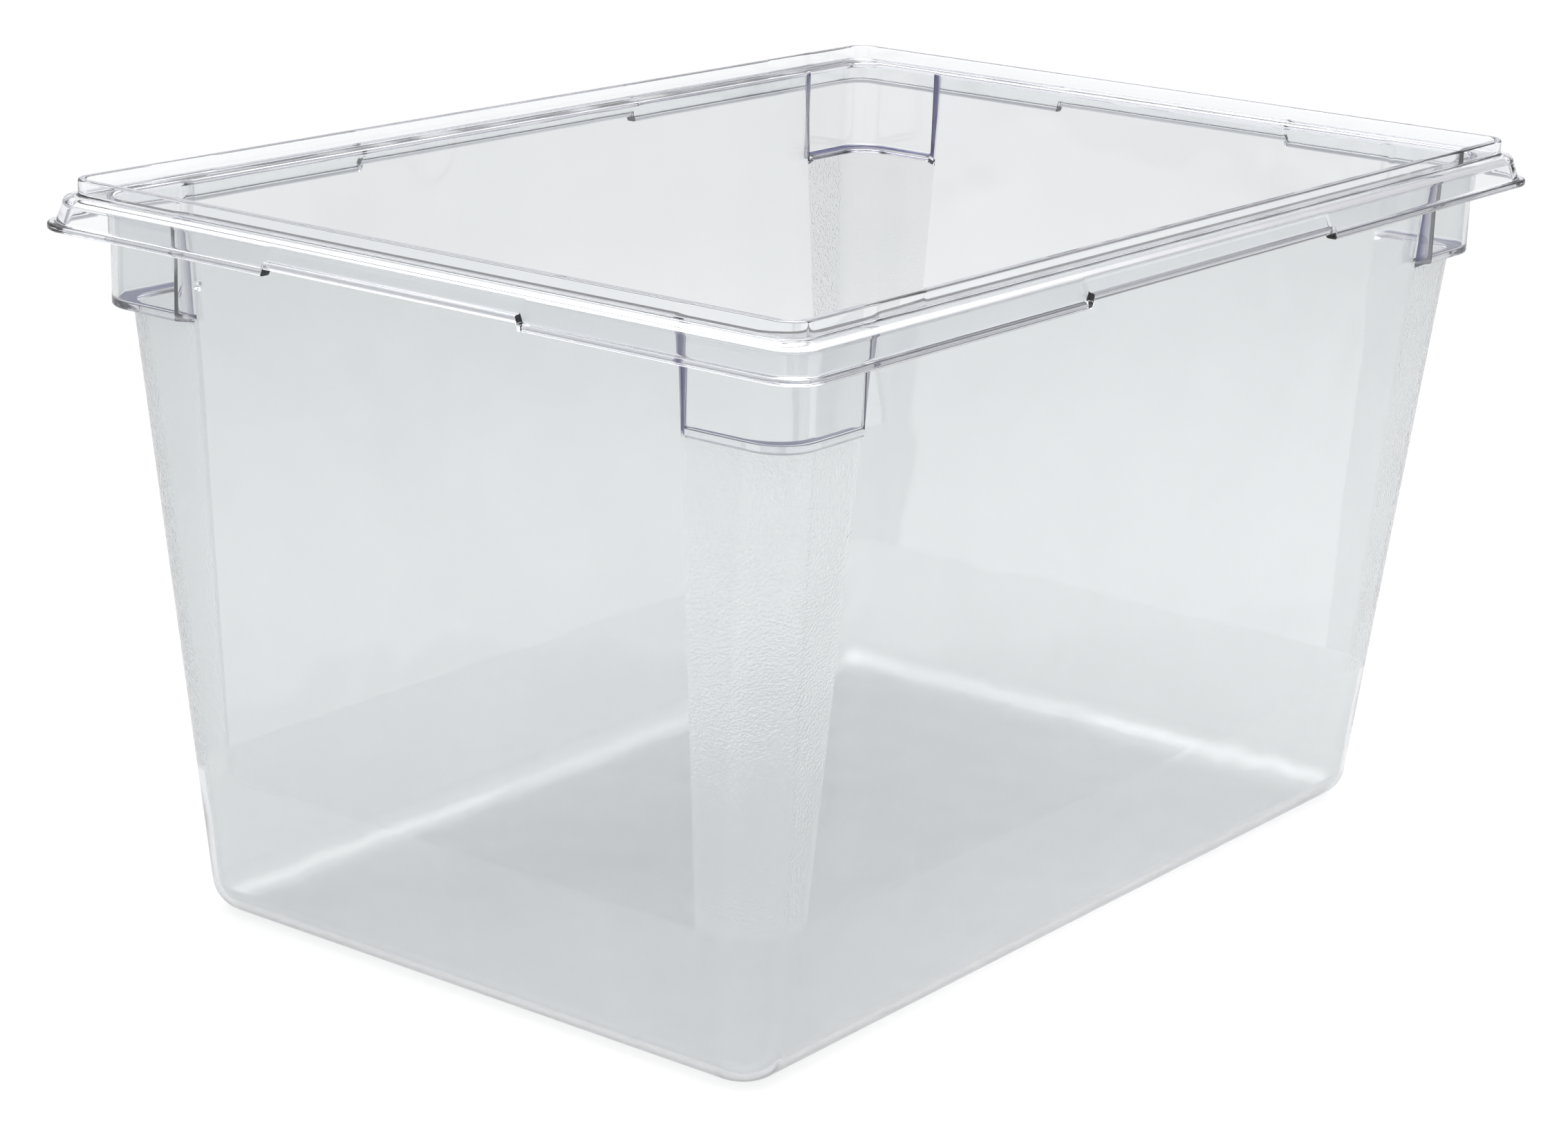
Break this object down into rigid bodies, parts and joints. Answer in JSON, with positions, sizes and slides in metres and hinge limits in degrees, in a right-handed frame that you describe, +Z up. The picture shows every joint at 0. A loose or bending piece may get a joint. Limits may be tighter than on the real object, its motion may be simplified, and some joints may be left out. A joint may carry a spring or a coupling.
{
  "type": "deep food storage pan",
  "caption": "Deep rectangular clear plastic food pan, open at the top, with tapered walls, hollow corner lugs and a stepped rim that takes a lid.",
  "frame": {"origin": "middle of the underside of the floor", "axes": "+Z up out of the open mouth, +X along the long side"},
  "size_m": [0.66, 0.457, 0.371],
  "materials": {
    "pan": "clear, fine grain on the outer walls, polished rim"
  },
  "bodies": {
    "root": {"pan_body": "pan"}
  },
  "joints": []
}
